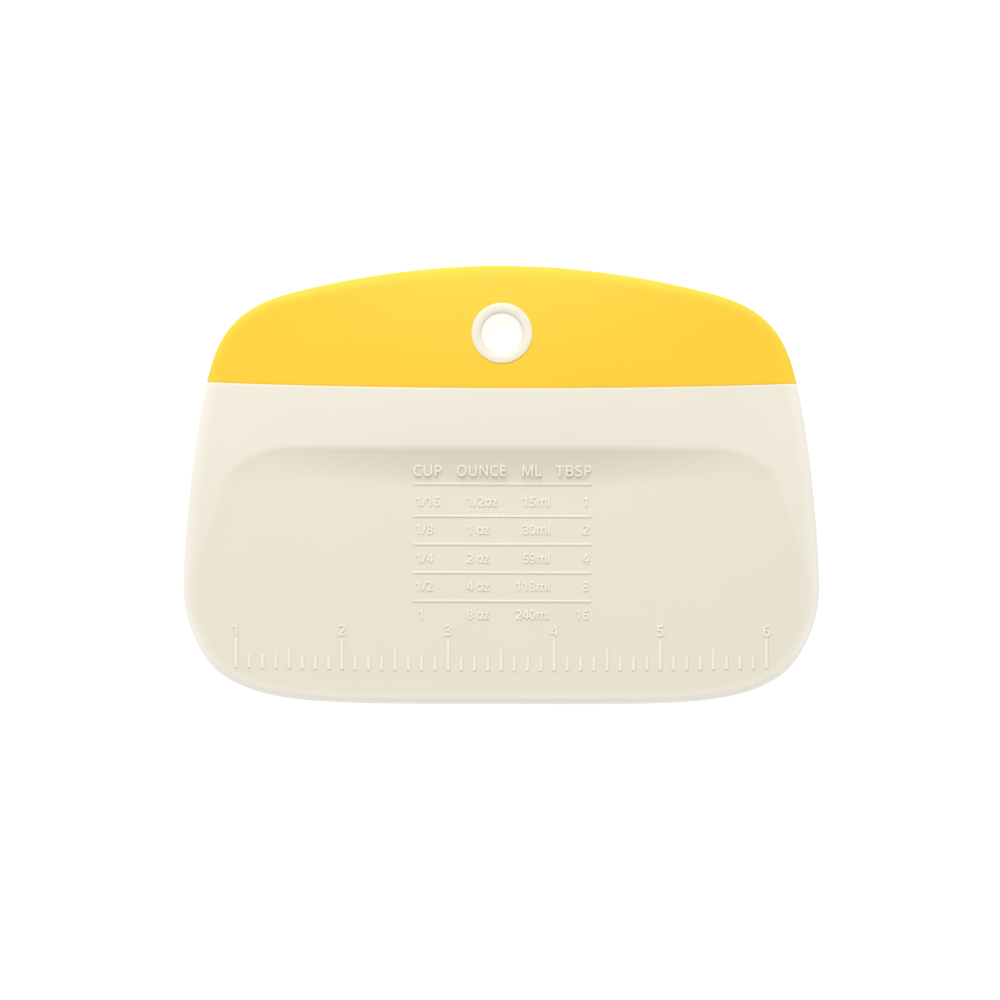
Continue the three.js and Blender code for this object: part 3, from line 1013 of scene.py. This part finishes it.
class SCRAPER_OT_ruler(bpy.types.Operator):
    """Raise the ruler's ticks and numbers."""

    bl_idname = "scraper.ruler"
    bl_label = "Ruler"

    def execute(self, context):
        form = Form()
        ticks = mark_curve("ticks")
        curves = [(ticks, (0, 0), (0, 0))]
        for eighth in range(8 * RULER_INCHES + 1):
            x = (eighth / 8 - RULER_INCHES / 2) * INCH
            long = TICK_INCH if eighth % 8 == 0 else TICK_HALF if eighth % 4 == 0 else TICK_EIGHTH
            foot = RULER_FOOT_Y + RULER_SAG * (eighth / 4 / RULER_INCHES - 1) ** 2
            add_bar(ticks, bar_points(x, foot, sizes().mark_width, long, TICK_STEPS))
            if eighth % 8 == 0:
                number = str(eighth // 8 + 1)
                curves.append(words(number, "CENTER", x, RULER_DIGIT_Y, RULER_DIGIT_CAP))
        ruler = raised("ruler", form, curves)
        # The ruler's colour is painted paler, a painted highlight on its raised tops.
        dress(ruler, polished_and_highlit_material("cream_relief_painted_highlight", RELIEF_PAINTED_HIGHLIGHT), "blade_core")
        return {"FINISHED"}


class SCRAPER_OT_table(bpy.types.Operator):
    """Raise the conversion table's rules, headings and rows."""

    bl_idname = "scraper.table"
    bl_label = "Conversion Table"

    def execute(self, context):
        form = Form()
        rules = mark_curve("rules")
        curves = [(rules, (0, 0), (0, 0))]
        middle, wide = (TABLE_LEFT + TABLE_RIGHT) / 2, TABLE_RIGHT - TABLE_LEFT
        thick = RULE_THICKNESS
        for y in TABLE_RULES_Y:
            add_bar(rules, bar_points(middle, y - thick / 2, wide, thick, RULE_STEPS))
        for text, align, x, tracking in HEADINGS:
            curves.append(words(text, align, x, HEADER_Y, HEADER_CAP, tracking, HEADER_LEVELLING))
        for y, row in zip(ROWS_Y, TABLE_ROWS):
            for (align, x), text in zip(COLUMNS, row):
                curves.append(words(text, align, x, y, ROW_CAP, ROW_TRACKING))
        table = raised("conversion_table", form, curves)
        # The table's colour is painted paler, a painted highlight on its raised tops.
        dress(table, polished_and_highlit_material("cream_relief_painted_highlight", RELIEF_PAINTED_HIGHLIGHT), "blade_core")
        return {"FINISHED"}


class SCRAPER_PT_panel(bpy.types.Panel):
    """The scraper's sizes, colours and steps."""

    bl_idname = "SCRAPER_PT_panel"
    bl_label = "Bench Scraper"
    bl_space_type = "VIEW_3D"
    bl_region_type = "UI"
    bl_category = "Scraper"

    def draw(self, context):
        for group in (sizes(), finish()):
            for name in group.__annotations__:
                self.layout.prop(group, name)
        for step in STEPS:
            self.layout.operator(step.bl_idname)


STEPS = (
    SCRAPER_OT_stage,
    SCRAPER_OT_form,
    SCRAPER_OT_collar,
    SCRAPER_OT_table,
    SCRAPER_OT_ruler,
)
CLASSES = (ScraperSizes, ScraperFinish, *STEPS, SCRAPER_PT_panel)


def register():
    for one in CLASSES:
        bpy.utils.register_class(one)
    bpy.types.Scene.scraper_sizes = PointerProperty(type=ScraperSizes)
    bpy.types.Scene.scraper_finish = PointerProperty(type=ScraperFinish)


def unregister():
    del bpy.types.Scene.scraper_finish
    del bpy.types.Scene.scraper_sizes
    for one in reversed(CLASSES):
        bpy.utils.unregister_class(one)


def main():
    register()
    bpy.ops.scraper.stage()
    bpy.ops.scraper.form()
    bpy.ops.scraper.collar()
    bpy.ops.scraper.table()
    bpy.ops.scraper.ruler()


if __name__ == "__main__":
    main()
